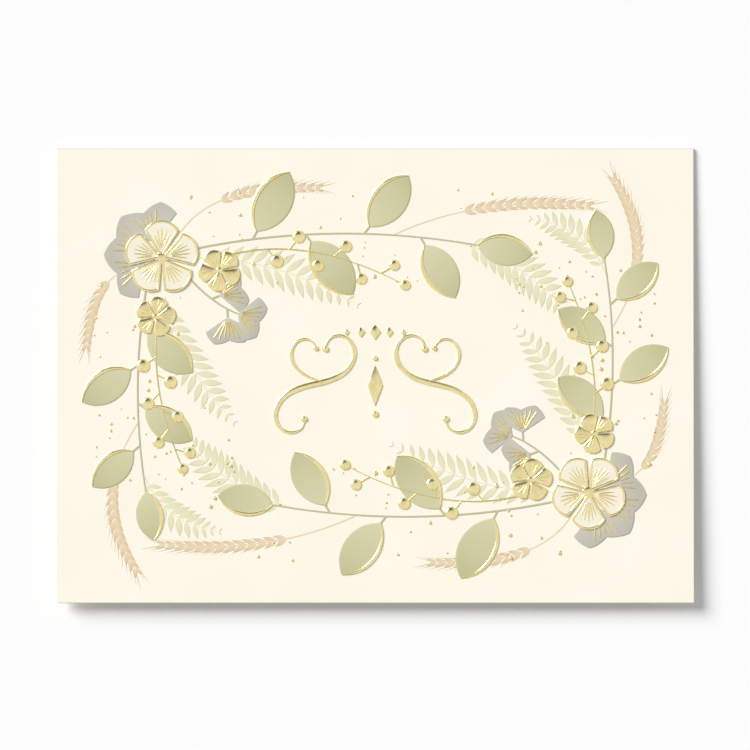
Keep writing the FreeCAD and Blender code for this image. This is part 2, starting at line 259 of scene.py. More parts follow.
def printed_ink(name, stops, edge, speckling=0.22):
    """Offset ink soaked into uncoated card.

    To the eye it is matt and flat. Its tint drifts through the stops along each motif and
    from motif to motif, the card speckles through it, and it is firmer at the edge. The
    speckle's real grain of about 0.2 mm is drawn at 0.9 mm, or it would not show.
    """
    material, tree, shader, where = new_material(name)
    speckle = add(tree, "ShaderNodeTexNoise", inputs={
        "Vector": where, "Scale": noise_scale(SPECKLE_SIZE), "Detail": 4.0,
    })
    along, tone, edges = (
        add(tree, "ShaderNodeAttribute", {"attribute_name": label}).outputs["Fac"]
        for label in ("along", "tone", "edge")
    )
    shade = add(tree, MATH, {"operation": "ADD"}, {0: along, 1: tone})
    speckled = add(tree, MATH, {"operation": "MULTIPLY_ADD"}, {0: speckle, 1: speckling, 2: shade})
    wash = add(tree, MATH, {"operation": "SUBTRACT"}, {0: speckled, 1: speckling / 2})
    tint = set_stops(add(tree, "ShaderNodeValToRGB", inputs={"Fac": wash}), stops)
    edged = add(tree, "ShaderNodeMix", {"data_type": "RGBA"}, {
        "Factor": edges, 6: tint, 7: linear(edge),
    })
    relief = add(tree, "ShaderNodeBump", inputs={"Height": speckle, "Distance": TOOTH_DEPTH * MM})
    wire(shader, {
        "Base Color": edged.outputs[2],
        "Roughness": 0.62,
        "Specular IOR Level": 0.35,
        "Normal": relief,
    })
    return material


def stamped_foil(name, pale, deep, roughness, crinkle):
    """Hot-stamped gold-coloured foil.

    To the eye it is a bright metal film that mirrors the room, dark where it faces something
    dark, with a faint crinkle from the card's fibres under it, about 1.6 mm wide.
    """
    material, tree, shader, where = new_material(name)
    crinkles = add(tree, "ShaderNodeTexNoise", inputs={
        "Vector": where, "Scale": noise_scale(CRINKLE_SIZE), "Detail": 3.0, "Distortion": 0.6,
    })
    gold = set_stops(add(tree, "ShaderNodeValToRGB", inputs={"Fac": crinkles}),
                     ((0.30, deep), (0.62, pale)))
    relief = add(tree, "ShaderNodeBump", inputs={"Height": crinkles, "Distance": crinkle * MM})
    wire(shader, {
        "Base Color": gold,
        "Metallic": 1.0,
        "Roughness": roughness,
        "Normal": relief,
    })
    return material


def white_table():
    """Matt white lacquer on a table top: plain, bright and all but even."""
    material, tree, shader, where = new_material("matt_white_lacquer")
    haze = add(tree, "ShaderNodeTexNoise", inputs={
        "Vector": where, "Scale": noise_scale(HAZE_SIZE), "Detail": 2.0,
    })
    white = set_stops(add(tree, "ShaderNodeValToRGB", inputs={"Fac": haze}),
                      ((0.0, "#fefefe"), (1.0, "#ffffff")))
    wire(shader, {"Base Color": white, "Roughness": 0.85, "Specular IOR Level": 0.2})
    return material


CARD_STOCK = cream_card()

# Petal cream: the card's cream painted a shade darker, a painted shade against the light that
# the foil lines bounce onto the open petals, which still stand out a hint whiter than the card
SHADED_PETAL_CREAM = printed_ink(
    "petal_cream_with_painted_shade", ((0.0, "#efe6cc"), (0.6, "#f6eed8"), (1.0, "#f8f2df")), "#efe5ca",
    speckling=0.12)

# Sage green: dusty and soft, a little deeper towards each leaf's tip
SAGE_INK = printed_ink(
    "offset_sage_green_ink", ((0.0, "#d8d4ad"), (0.55, "#cecaa0"), (1.0, "#c3bf93")), "#c0bb8e")

# Warm grey: like stone, the darkest print, under the foil ribs
GREY_INK = printed_ink(
    "offset_warm_grey_ink", ((0.0, "#cfccc0"), (0.55, "#c6c2b5"), (1.0, "#bdb9a9")), "#b7b3a2")

# Pale green: a light tint that stays behind the rest
PALE_INK = printed_ink(
    "offset_pale_green_ink", ((0.0, "#ece9c8"), (0.6, "#e6e3bf"), (1.0, "#e0dcb4")), "#e4e0ba")

# Tan: straw colour, dry and warm
TAN_INK = printed_ink(
    "offset_straw_tan_ink", ((0.0, "#eddbbb"), (0.5, "#e6d1ae"), (1.0, "#dcc39b")), "#e0c9a3")

# Olive: the stems' thin lines, a shade darker than the leaves
STEM_INK = printed_ink("offset_olive_ink", ((0.0, "#c6c2a0"), (1.0, "#b9b48e")), "#bdb893")

# Polished foil on wide shapes: clear highlights and dark upper edges
FOIL = stamped_foil("polished_hot_stamped_foil", "#ecdfa8", "#e2d194", 0.20, 0.006)

# The same foil on hair lines and dots: a shade deeper and softer, as it breaks up there
LINE_FOIL = stamped_foil("fine_line_hot_stamped_foil", "#e6d79d", "#dcc784", 0.26, 0.005)


# Mesh making

BLUNTEST_CORNER = 0.45


def grown(outline, margin):
    """Moves a closed counter-clockwise outline outwards by a margin, sharp corners by less."""
    moved = []
    for index, corner in enumerate(outline):
        before = (corner - outline[index - 1]).normalized()
        after = (outline[(index + 1) % len(outline)] - corner).normalized()
        side = Vector((before.y, -before.x))
        outward = (side + Vector((after.y, -after.x))).normalized()
        moved.append(corner + outward * margin / max(outward.dot(side), BLUNTEST_CORNER))
    return moved


def drawn_in(outline, share):
    """Draws an outline in towards its middle, keeping a share of its size."""
    middle = sum(outline, Vector((0, 0))) / len(outline)
    return [middle + (corner - middle) * share for corner in outline]


def add_walls(shell, loops):
    """Joins loops of vertices one above another and closes the lowest."""
    for lower, upper in zip(loops, loops[1:]):
        for index in range(len(lower)):
            shell.faces.new((lower[index - 1], lower[index], upper[index], upper[index - 1]))
    shell.faces.new(loops[0][::-1])


def pad_mesh(name, outline, rings, length):
    """Closed pad on an outline.

    Each ring is (margin, share, height): the outline grown by a margin, drawn in to a
    share of its size. The share of the motif's length that a vertex lies at is kept as
    'along', and its nearness to the edge as 'edge'.
    """
    shell = bmesh.new()
    along = shell.verts.layers.float.new("along")
    edge = shell.verts.layers.float.new("edge")
    loops = []
    for index, (margin, share, height) in enumerate(rings):
        loop = []
        for corner in drawn_in(grown(outline, margin), share):
            vertex = shell.verts.new((corner.x, corner.y, height))
            vertex[along] = min(max(corner.x / length, 0.0), 1.0)
            vertex[edge] = 1.0 if index < len(rings) - 2 else 0.0
            loop.append(vertex)
        loops.append(loop)
    add_walls(shell, loops)
    shell.faces.new(loops[-1])
    bmesh.ops.triangulate(shell, faces=[face for face in shell.faces if len(face.verts) > 4])
    return mesh_from(name, shell)


def mesh_from(name, shell):
    """Turns a bmesh into a mesh with its faces outwards."""
    bmesh.ops.recalc_face_normals(shell, faces=shell.faces)
    mesh = bpy.data.meshes.new(name)
    shell.to_mesh(mesh)
    shell.free()
    return mesh


def put(name, data):
    """Puts a mesh, a lamp or a camera in the scene."""
    thing = bpy.data.objects.new(name, data)
    bpy.context.scene.collection.objects.link(thing)
    return thing


def keep(name, finish, *meshes, smooth=True):
    """Joins finished meshes from the front leaf into one piece of the card.

    Flat print isn't shaded smoothly, or its thin blades would look domed.
    """
    shell = bmesh.new()
    for mesh in meshes:
        shell.from_mesh(mesh)
        bpy.data.meshes.remove(mesh)
    for face in shell.faces:
        face.material_index = 0
        face.smooth = smooth
    joined = mesh_from(name, shell)
    joined.materials.append(finish)
    joined.transform(FRONT)
    piece = put(name, joined)
    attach(piece, "root")


# Geometry Nodes: trees with named inputs, run once and turned into plain meshes

SHORTEST_BLADE = 1.2
WIDEST_BLADE = 0.36


def new_tree(name, inputs):
    """Node tree with a geometry in and out and the named inputs; gives the tree and its ends."""
    tree = bpy.data.node_groups.new(name, "GeometryNodeTree")
    tree.interface.new_socket("Geometry", in_out="INPUT", socket_type="NodeSocketGeometry")
    for label, kind in inputs:
        tree.interface.new_socket(label, in_out="INPUT", socket_type="NodeSocket" + kind)
    tree.interface.new_socket("Geometry", in_out="OUTPUT", socket_type="NodeSocketGeometry")
    return tree, add(tree, "NodeGroupInput").outputs


def end_tree(tree, geometry, finish):
    """Ends a tree: real geometry with its material."""
    real = add(tree, "GeometryNodeRealizeInstances", inputs={"Geometry": geometry})
    done = add(tree, "GeometryNodeSetMaterial", inputs={"Geometry": real, "Material": finish})
    add(tree, "NodeGroupOutput", inputs={0: done})
    return tree


def copies_tree():
    """A copy of a motif on each place, turned and sized as the place says."""
    tree, given = new_tree("copies_on_places", (("Motif", "Object"), ("Finish", "Material")))
    motif = add(tree, "GeometryNodeObjectInfo", inputs={"Object": given["Motif"]})
    angle = add(tree, NAMED, inputs={"Name": "turn"})
    turn = add(tree, "ShaderNodeCombineXYZ", inputs={"Z": angle})
    grow = add(tree, NAMED, {"data_type": "FLOAT_VECTOR"}, {"Name": "grow"})
    copies = add(tree, "GeometryNodeInstanceOnPoints", inputs={
        "Points": given["Geometry"],
        "Instance": motif.outputs["Geometry"],
        "Rotation": turn,
        "Scale": grow,
    })
    return end_tree(tree, copies, given["Finish"])


def lines_tree():
    """A raised line along each track, as wide as the track says, with a profile's heights."""
    tree, given = new_tree("raised_lines", (("Profile", "Object"), ("Finish", "Material")))
    profile = add(tree, "GeometryNodeObjectInfo", inputs={"Object": given["Profile"]})
    section = add(tree, "GeometryNodeMeshToCurve", inputs={"Mesh": profile.outputs["Geometry"]})
    track = add(tree, "GeometryNodeMeshToCurve", inputs={"Mesh": given["Geometry"]})
    swept = add(tree, "GeometryNodeCurveToMesh", inputs={
        "Curve": track,
        "Profile Curve": section,
        "Scale": add(tree, NAMED, inputs={"Name": "half_width"}),
        "Fill Caps": True,
    })
    lift = add(tree, "ShaderNodeCombineXYZ", inputs={
        "Z": add(tree, NAMED, inputs={"Name": "height"}),
    })
    shaped = add(tree, "GeometryNodeSetPosition", inputs={"Geometry": swept, "Offset": lift})
    return end_tree(tree, shaped, given["Finish"])


def pairs_tree():
    """Blades in pairs along a stem, longest where the swell is; each laps over the last."""
    tree, given = new_tree("paired_blades", (
        ("Blade", "Object"), ("Pairs", "Int"), ("First share", "Float"), ("Spread", "Float"),
        ("Length", "Float"), ("Width", "Float"), ("Swell start", "Float"),
        ("Swell span", "Float"), ("Finish", "Material"),
    ))
    blade = add(tree, "GeometryNodeObjectInfo", inputs={"Object": given["Blade"]})
    stem = add(tree, "GeometryNodeMeshToCurve", inputs={"Mesh": given["Geometry"]})
    row = add(tree, "GeometryNodeTrimCurve", {"mode": "FACTOR"}, {
        "Curve": stem,
        "Start": given["First share"],
    })
    marked = add(tree, "GeometryNodeStoreNamedAttribute", inputs={
        "Geometry": row,
        "Name": "row_share",
        "Value": add(tree, "GeometryNodeSplineParameter").outputs["Factor"],
    })
    spots = add(tree, "GeometryNodeCurveToPoints", {"mode": "COUNT"}, {
        "Curve": marked,
        "Count": given["Pairs"],
    })
    growth = add(tree, "ShaderNodeSeparateXYZ", inputs={0: spots.outputs["Tangent"]})
    heading = add(tree, MATH, {"operation": "ARCTAN2"}, {
        0: growth.outputs["Y"], 1: growth.outputs["X"],
    })
    share = add(tree, NAMED, inputs={"Name": "row_share"})

    phase = add(tree, MATH, {"operation": "MULTIPLY_ADD"}, {
        0: share, 1: given["Swell span"], 2: given["Swell start"],
    })
    half_turn = add(tree, MATH, {"operation": "MULTIPLY"}, {0: phase, 1: math.pi})
    swell = add(tree, MATH, {"operation": "SINE"}, {0: half_turn})
    length = add(tree, MATH, {"operation": "MULTIPLY"}, {0: swell, 1: given["Length"]})
    length = add(tree, MATH, {"operation": "MAXIMUM"}, {0: length, 1: SHORTEST_BLADE})
    width = add(tree, MATH, {"operation": "MULTIPLY"}, {0: length, 1: WIDEST_BLADE})
    width = add(tree, MATH, {"operation": "MINIMUM"}, {0: width, 1: given["Width"]})
    size = add(tree, "ShaderNodeCombineXYZ", inputs={"X": length, "Y": width, "Z": 1.0})

    order = add(tree, MATH, {"operation": "MULTIPLY"}, {0: share, 1: given["Pairs"]})
    both = add(tree, "GeometryNodeJoinGeometry")
    for side, step in (("ADD", 0.0), ("SUBTRACT", LAP)):
        angle = add(tree, MATH, {"operation": side}, {0: heading, 1: given["Spread"]})
        lift = add(tree, MATH, {"operation": "MULTIPLY_ADD"}, {0: order, 1: LAP * 2, 2: step})
        lapped = add(tree, "GeometryNodeSetPosition", inputs={
            "Geometry": spots.outputs["Points"],
            "Offset": add(tree, "ShaderNodeCombineXYZ", inputs={"Z": lift}),
        })
        wire(both, {0: add(tree, "GeometryNodeInstanceOnPoints", inputs={
            "Points": lapped,
            "Instance": blade.outputs["Geometry"],
            "Rotation": add(tree, "ShaderNodeCombineXYZ", inputs={"Z": angle}),
            "Scale": size,
        })})
    return end_tree(tree, both, given["Finish"])


COPIES = copies_tree()
LINES = lines_tree()
PAIRS = pairs_tree()


def run_tree(tree, source, values):
    """Runs a tree on a mesh and gives the result as a plain mesh.

    The values are the tree's named inputs. A mesh among them, like the source, is in the
    scene only while the tree runs.
    """
    stand = put("tree_source", source)
    helpers = {label: put(label, value) for label, value in values.items()
               if isinstance(value, bpy.types.Mesh)}
    modifier = stand.modifiers.new("build", "NODES")
    modifier.node_group = tree
    for item in tree.interface.items_tree:
        if item.in_out == "INPUT" and item.name in values:
            modifier[item.identifier] = helpers.get(item.name, values[item.name])
    graph = bpy.context.evaluated_depsgraph_get()
    result = bpy.data.meshes.new_from_object(stand.evaluated_get(graph))
    stand.modifiers.remove(modifier)
    for thing in (stand, *helpers.values()):
        mesh = thing.data
        bpy.data.objects.remove(thing)
        bpy.data.meshes.remove(mesh)
    return result


def add_values(mesh, name, kind, values):
    """Gives each point of a mesh a named number or vector, vectors laid end to end."""
    layer = mesh.attributes.new(name, kind, "POINT")
    layer.data.foreach_set("value" if kind == "FLOAT" else "vector", values)


def copies(motif, places, finish):
    """Sets copies of a motif on (point, turn, scale, tone) places; its height isn't scaled."""
    source = bpy.data.meshes.new("places")
    spots = [(spot.x, spot.y, LAP * step) for step, (spot, _, _, _) in enumerate(places)]
    source.from_pydata(spots, [], [])
    add_values(source, "turn", "FLOAT", [angle for _, angle, _, _ in places])
    grow = [part for _, _, scale, _ in places for part in (scale, scale, 1.0)]
    add_values(source, "grow", "FLOAT_VECTOR", grow)
    add_values(source, "tone", "FLOAT", [shade for _, _, _, shade in places])
    return run_tree(COPIES, source, {"Motif": motif, "Finish": finish})


def chain(first, count):
    """Joins a run of points one after another."""
    return [(step, step + 1) for step in range(first, first + count - 1)]


def raised_lines(tracks, finish, top, crown):
    """Raises a line along each track of (point, half width).

    Its section has steep sides up to a level and a rounded crown above it.
    """
    source = bpy.data.meshes.new("tracks")
    spots = []
    joins = []
    widths = []
    for track in tracks:
        joins += chain(len(spots), len(track))
        spots += [(spot.x, spot.y, 0) for spot, _ in track]
        widths += [half for _, half in track]
    source.from_pydata(spots, joins, [])
    add_values(source, "half_width", "FLOAT", widths)

    offsets = (-1.0, -1.0, -0.88, -0.5, 0.0, 0.5, 0.88, 1.0, 1.0)
    climb = (SUNK, top * 0.7, top, top + crown * 0.75)
    levels = (*climb, top + crown, *climb[::-1])
    section = bpy.data.meshes.new("profile")
    count = len(offsets)
    section.from_pydata(
        [(offset, 0, 0) for offset in offsets], chain(0, count) + [(count - 1, 0)], [])
    add_values(section, "height", "FLOAT", levels)
    return run_tree(LINES, source, {"Profile": section, "Finish": finish})


def stem_track(branch, width, thin=0.7, share=1.0):
    """Track of a stem that thins towards its end, at a share of its full width."""
    half = (width / 2 + COVER) * share
    return [
        (spot, half * (1 - (1 - thin) * step / STEM_STEPS))
        for step, spot in enumerate(branch.track())
    ]


def straight_track(start, end, width):
    """Track of a short straight line."""
    return [
        (start.lerp(end, step / STALK_STEPS), width / 2 + COVER)
        for step in range(STALK_STEPS + 1)
    ]


def ray(middle, radius, inner, outer, halves):
    """Track of a straight line about a middle, which swells between its ends.

    It runs from one (share of the radius, direction) to another; halves are its half widths
    at the ends and in its middle.
    """
    start, end = (middle + polar(radius * share, turn) for share, turn in (inner, outer))
    thin, thick = halves
    return [
        (start.lerp(end, step / RAY_STEPS),
         thin + (thick - thin) * math.sin(math.pi * step / RAY_STEPS))
        for step in range(RAY_STEPS + 1)
    ]


# Layout of one corner garland, the same as the solid's; the other is turned half round

HEART = place(-0.71, 0.60)
LEAF_BRANCHES = (
    (Branch((-0.62, 0.64), (-0.14, 0.80), (0.36, 0.66)),
     (0.22, 0.40, 0.60, 0.79, 0.98), (1.00, 1.00, 0.95, 0.90, 0.82)),
    (Branch((-0.76, 0.46), (-0.82, -0.08), (-0.76, -0.62)),
     (0.20, 0.38, 0.56, 0.76, 0.98), (0.88, 0.86, 0.84, 0.80, 0.72)),
)
FAN_BRANCH = Branch((-0.62, 0.50), (-0.54, 0.36), (-0.45, 0.31))
FAN_SHARES = (0.46, 0.76, 0.96)
SMALL_FAN = 0.72
FAN_SPREAD = math.radians(58)
HEART_FANS = ((112, 0.95), (156, 1.00), (200, 0.92))
HEART_FAN_STEP = 0.42
BEAD_BRANCHES = (
    Branch((-0.52, 0.60), (-0.24, 0.74), (0.10, 0.46)),
    Branch((-0.72, 0.30), (-0.76, -0.06), (-0.64, -0.48)),
)
SIDE_BLOSSOMS = ((-12, 46, 1.00), (-96, 6, 0.94))
OPEN_BLOSSOM_TURN = 18
FERNS = (
    (Branch((0.26, 0.685), (0.50, 0.60), (0.64, 0.30)), 14, 7.2),
    (Branch((-0.60, 0.60), (-0.32, 0.60), (-0.06, 0.36)), 14, 7.2),
    (Branch((-0.772, -0.50), (-0.71, -0.76), (-0.52, -0.80)), 11, 5.6),
    (Branch((-0.70, 0.40), (-0.64, 0.02), (-0.47, -0.24)), 13, 6.8),
)
EARS = (
    (Branch((0.06, 0.717), (0.34, 0.92), (0.70, 0.87)), 13, 4.2),
    (Branch((-0.66, 0.70), (-0.56, 0.98), (-0.20, 0.96)), 11, 4.0),
    (Branch((-0.787, -0.24), (-0.95, -0.62), (-0.80, -0.99)), 12, 4.2),
    (Branch((-0.76, 0.54), (-0.93, 0.58), (-0.96, 0.16)), 9, 3.8),
)
TONE_RANGE = 0.16
TONE_SCALE = 0.37
SPECK_SEED = 11
SPECK_RADII = (0.20, 0.58)
SPECK_LINES = (
    (LEAF_BRANCHES[0][0], 34, 15.0),
    (LEAF_BRANCHES[1][0], 28, 13.0),
    (Branch((0.36, 0.70), (0.50, 0.60), (0.66, 0.20)), 16, 9.0),
)


def tone_at(spot):
    """Small steady change of shade from place to place."""
    return TONE_RANGE * noise.noise(Vector((spot.x, spot.y, 0)) * TONE_SCALE)


def both_ways(places):
    """Adds the second garland's places, turned half round the card's middle."""
    return places + [(-spot, angle + math.pi, scale, tone) for spot, angle, scale, tone in places]


def both_tracks(tracks):
    """Adds the second garland's tracks."""
    return tracks + [[(-spot, half) for spot, half in track] for track in tracks]


def alternate(branch, shares, spread):
    """(Stem point, base, direction, side) of motifs on alternate sides, the last at the tip."""
    for index, share in enumerate(shares):
        foot = branch.at(share)
        angle = branch.heading(share)
        if index == len(shares) - 1:
            yield foot, foot, angle, 1
            return
        side = 1 if index % 2 == 0 else -1
        angle += side * spread
        yield foot, foot + polar(STALK_LENGTH, angle), angle, side


def leaf_places():
    """(Stem point, base, direction, scale, rim side) of each leaf of a garland."""
    return [
        (foot, base, angle, scale, side)
        for branch, shares, scales in LEAF_BRANCHES
        for scale, (foot, base, angle, side) in zip(scales, alternate(branch, shares, LEAF_SPREAD))
    ]


def fan_places():
    """(Stem point, base, direction, radius) of each fan of a garland."""
    found = []
    for turn, scale in HEART_FANS:
        angle = math.radians(turn)
        base = HEART + polar(FAN_RADIUS * HEART_FAN_STEP, angle)
        found.append((base, base, angle, FAN_RADIUS * scale))
    for foot, base, angle, _ in alternate(FAN_BRANCH, FAN_SHARES, FAN_SPREAD):
        found.append((foot, base, angle, FAN_RADIUS * SMALL_FAN))
    return found


def side_blossoms():
    """(Middle, first petal, scale) of the two small blossoms beside a heart."""
    return [
        (HEART + polar(BLOSSOM_DISTANCE, math.radians(turn)), first, scale)
        for turn, first, scale in SIDE_BLOSSOMS
    ]


def bead_places(branch):
    """(Stem point, middle, radius) of each bead on a spray."""
    found = []
    last = BEAD_COUNT - 1
    for index in range(BEAD_COUNT):
        share = FIRST_BEAD + (1 - FIRST_BEAD) * index / last
        foot = branch.at(share)
        radius = BEAD_RADIUS * (1 - BEAD_TAPER * index / BEAD_COUNT)
        side = 1 if index % 2 else -1
        angle = branch.heading(share) + side * BEAD_SPREAD
        step = 0 if index == last else BEAD_RADIUS * BEAD_REACH
        found.append((foot, foot + polar(step, angle), radius))
    return found


def arc(start, end, bulge, count):
    """Points of an arc between two points that bulges to the left of its direction."""
    chord = end - start
    half = chord.length / 2
    if abs(bulge) < 1e-6:
        return [start.lerp(end, step / count) for step in range(count + 1)]
    radius = (half * half + bulge * bulge) / (2 * bulge)
    left = Vector((-chord.y, chord.x)).normalized()
    centre = (start + end) / 2 + left * (bulge - radius)
    sweep = 4 * math.atan(bulge / half)
    spoke = start - centre
    return [centre + Matrix.Rotation(-sweep * step / count, 2) @ spoke for step in range(count + 1)]


# Leaves: printed fields with a raised foil rim

def leaf_outline(length):
    """Pointed oval between two arcs, base at the origin, counter-clockwise."""
    tip = Vector((length, 0))
    lower = arc(Vector((0, 0)), tip, -length * LEAF_SWELL, count=18)
    upper = arc(tip, Vector((0, 0)), -length * LEAF_SWELL, count=18)
    return lower[:-1] + upper[:-1]


def field_rings(bevel):
    """Section of a flat printed field with a fine bevel to its edge."""
    return (
        (COVER, 1.0, SUNK), (COVER, 1.0, PRINT_LEVEL + 0.01),
        (0.0, 1.0, PRINT_LEVEL + 0.04), (-bevel, 1.0, PRINT_LEVEL + 0.055),
    )


def sage_leaves():
    """The round leaves' flat sage fields."""
    motif = pad_mesh("leaf", leaf_outline(LEAF_LENGTH), field_rings(bevel=0.45), LEAF_LENGTH)
    places = [
        (base, angle, scale, tone_at(base))
        for _, base, angle, scale, _ in leaf_places()
    ]
    keep("sage_leaves", SAGE_INK, copies(motif, both_ways(places), SAGE_INK))


def rim_track(base, angle, length, side):
    """Middle line and half width of the crescent rim on one side of a leaf."""
    tip = base + polar(length, angle)
    swell = side * length * LEAF_SWELL
    outer = arc(base, tip, swell, count=32)
    inner = arc(base, tip, swell - side * RIM_WIDTH, count=32)
    return [((far + near) / 2, (far - near).length / 2 + COVER) for far, near in zip(outer, inner)]


def leaf_rims():
    """Raised foil rim along one side of each leaf."""
    tracks = [
        rim_track(base, angle, LEAF_LENGTH * scale, side)
        for _, base, angle, scale, side in leaf_places()
    ]
    rims = raised_lines(both_tracks(tracks), FOIL, top=FOIL_LEVEL + 0.02, crown=0.07)
    keep("foil_leaf_rims", FOIL, rims)


def garland_stems():
    """Printed stems of the leaves and fans."""
    tracks = [stem_track(branch, STEM_WIDTH) for branch, _, _ in LEAF_BRANCHES]
    tracks.append(stem_track(FAN_BRANCH, STEM_WIDTH))
    for foot, base, angle, *_ in leaf_places() + fan_places():
        if base != foot:
            tracks.append(straight_track(foot, base + polar(STEM_WIDTH, angle), STEM_WIDTH))
    stems = raised_lines(both_tracks(tracks), STEM_INK, top=PRINT_LEVEL + 0.01, crown=0.015)
    keep("garland_stems", STEM_INK, stems)


# Fans: grey wedge leaves with raised foil ribs

FAN_REACH = 0.97
RIB_HALVES = (0.10, 0.23)
RIB_SHORTFALL = 0.11
RIB_GAIN = 0.32
RIB_GAIN_END = 0.55

# Ribs to a side of the middle one, degrees from there to the last, and the share of the
# fan's radius that they start at; a fan behind a heart shows only its far half
HEART_FAN_RIBS = (2, 24, 0.42)
STEM_FAN_RIBS = (3, 38, 0.16)


def fan_outline(radius):
    """Wedge with a far edge of shallow arcs, foot at the origin, counter-clockwise."""
    corners = []
    for step in range(FAN_LOBES + 1):
        turn = FAN_HALF * (2 * step / FAN_LOBES - 1)
        share = FAN_REACH
        if step == FAN_LOBES // 2:
            share = FAN_CLEFT
        elif step in (0, FAN_LOBES):
            share = FAN_SHOULDER
        corners.append(polar(radius * share, turn))
    outline = [Vector((0, 0))]
    for near, far in zip(corners, corners[1:]):
        rise = (far - near).length * FAN_LOBE_RISE
        outline += arc(near, far, -rise, count=8)[:-1]
    outline.append(corners[-1])
    return outline


def fan_leaves():
    """The fans' flat grey fields."""
    motif = pad_mesh("fan", fan_outline(FAN_RADIUS), field_rings(bevel=0.30), FAN_RADIUS)
    places = [
        (base, angle, radius / FAN_RADIUS, tone_at(base))
        for _, base, angle, radius in fan_places()
    ]
    keep("grey_fan_leaves", GREY_INK, copies(motif, both_ways(places), GREY_INK))


def fan_ribs():
    """Foil ribs that spread over each fan, shortest below the cleft."""
    tracks = []
    for index, (_, base, angle, radius) in enumerate(fan_places()):
        count, spread, foot = HEART_FAN_RIBS if index < len(HEART_FANS) else STEM_FAN_RIBS
        for step in range(-count, count + 1):
            turn = math.radians(spread) / count * step
            reach = FAN_CLEFT - RIB_SHORTFALL + RIB_GAIN * min(abs(turn), RIB_GAIN_END)
            way = angle + turn
            tracks.append(ray(base, radius, (foot, way), (reach, way), RIB_HALVES))
    ribs = raised_lines(both_tracks(tracks), LINE_FOIL, top=PRINT_LEVEL + 0.16, crown=0.07)
    keep("foil_fan_ribs", LINE_FOIL, ribs)


# Fronds and ears: flat printed blades in pairs along a stem

def blade_mesh(name, sharpness, level):
    """Pointed blade of length and width 1 with its foot at the origin."""
    count = 6
    upper = [
        Vector((step / count, 0.5 * math.sin(math.pi * (step / count) ** sharpness)))
        for step in range(count + 1)
    ]
    lower = [Vector((spot.x, -spot.y)) for spot in upper[1:-1]]
    outline = lower + upper[::-1]
    rings = ((0.0, 1.0, SUNK), (0.0, 1.0, level), (0.0, 0.93, level + 0.012))
    return pad_mesh(name, outline, rings, 1.0)


def paired_blades(branch, blade, finish, sizes):
    """Runs the tree of paired blades along a stem, with its named inputs."""
    points = branch.track()
    stem = bpy.data.meshes.new("stem")
    stem.from_pydata([(spot.x, spot.y, 0) for spot in points], chain(0, len(points)), [])
    return run_tree(PAIRS, stem, {"Blade": blade, "Finish": finish, **sizes})


def both_halves(meshes):
    """Adds the second garland's copy of finished meshes, each after the first's."""
    found = []
    for mesh in meshes:
        copy = mesh.copy()
        copy.transform(Matrix.Rotation(math.pi, 4, "Z"))
        found += [mesh, copy]
    return found


def fern_fronds():
    """Pale fern fronds with narrow leaflets."""
    meshes = []
    for branch, pairs, length in FERNS:
        leaflet = blade_mesh("leaflet", sharpness=0.85, level=0.035)
        leaflets = paired_blades(branch, leaflet, PALE_INK, {
            "Pairs": pairs, "First share": 0.14, "Spread": math.radians(52),
            "Length": length, "Width": 1.9, "Swell start": 0.22, "Swell span": 0.74,
        })
        rib = stem_track(branch, STEM_WIDTH, thin=0.3, share=0.6)
        meshes += both_halves([leaflets, raised_lines([rib], PALE_INK, top=0.04, crown=0.01)])
    keep("fern_fronds", PALE_INK, *meshes, smooth=False)


def wheat_ears():
    """Tan ears of grain with fine awns."""
    meshes = []
    for branch, pairs, length in EARS:
        kernel = blade_mesh("grain", sharpness=0.75, level=0.045)
        kernels = paired_blades(branch, kernel, TAN_INK, {
            "Pairs": pairs, "First share": 0.38, "Spread": math.radians(24),
            "Length": length, "Width": length * 0.30, "Swell start": 0.36, "Swell span": 0.42,
        })
        awn = blade_mesh("awn", sharpness=0.4, level=0.03)
        awns = paired_blades(branch, awn, TAN_INK, {
            "Pairs": pairs, "First share": 0.44, "Spread": math.radians(15),
            "Length": length * 1.9, "Width": 0.28, "Swell start": 0.40, "Swell span": 0.30,
        })
        stalk = stem_track(branch, width=0.42, thin=0.5)
        stalks = raised_lines([stalk], TAN_INK, top=0.035, crown=0.01)
        meshes += both_halves([kernels, awns, stalks])
    keep("wheat_ears", TAN_INK, *meshes, smooth=False)


# Blossoms, beads and specks of foil

def petal_outline(radius):
    """Petal from the origin: two straight sides and a round outer end, counter-clockwise."""
    half = math.pi / PETALS * PETAL_FILL
    right = polar(radius * PETAL_SHOULDER, -half)
    left = polar(radius * PETAL_SHOULDER, half)
    rise = radius - right.x
    foot = Vector((0, 0))
    out = [foot.lerp(right, step / 4) for step in range(4)]
    back = [left.lerp(foot, step / 4) for step in (1, 2, 3)]
    return out + arc(right, left, -rise, count=16) + back


def petal_turns(first):
    """Directions of a blossom's petals, the first given in degrees."""
    return [math.radians(first) + 2 * math.pi * index / PETALS for index in range(PETALS)]


PETAL_EDGE_HALF = 0.36
PETAL_EDGE_INSET = 0.32

# Lines up a petal: how many to a side of the middle one, half widths at their ends and in
# their middle, (share of the radius, radians between neighbours) at their foot and at their
# end, and how much shorter the outer ones are
VEINS = (1, (0.09, 0.19), (0.34, 0.20), (0.84, 0.27), 0.07)
PETAL_RIBS = (2, (0.10, 0.22), (0.28, 0.10), (0.78, 0.155), 0.03)


def petal_rays(middle, radius, turn, lines):
    """Tracks of the fine lines up a petal, the middle one longest."""
    count, halves, (foot, foot_step), (reach, end_step), loss = lines
    return [
        ray(middle, radius, (foot, turn + step * foot_step),
            (reach - loss * step * step, turn + step * end_step), halves)
        for step in range(-count, count + 1)
    ]


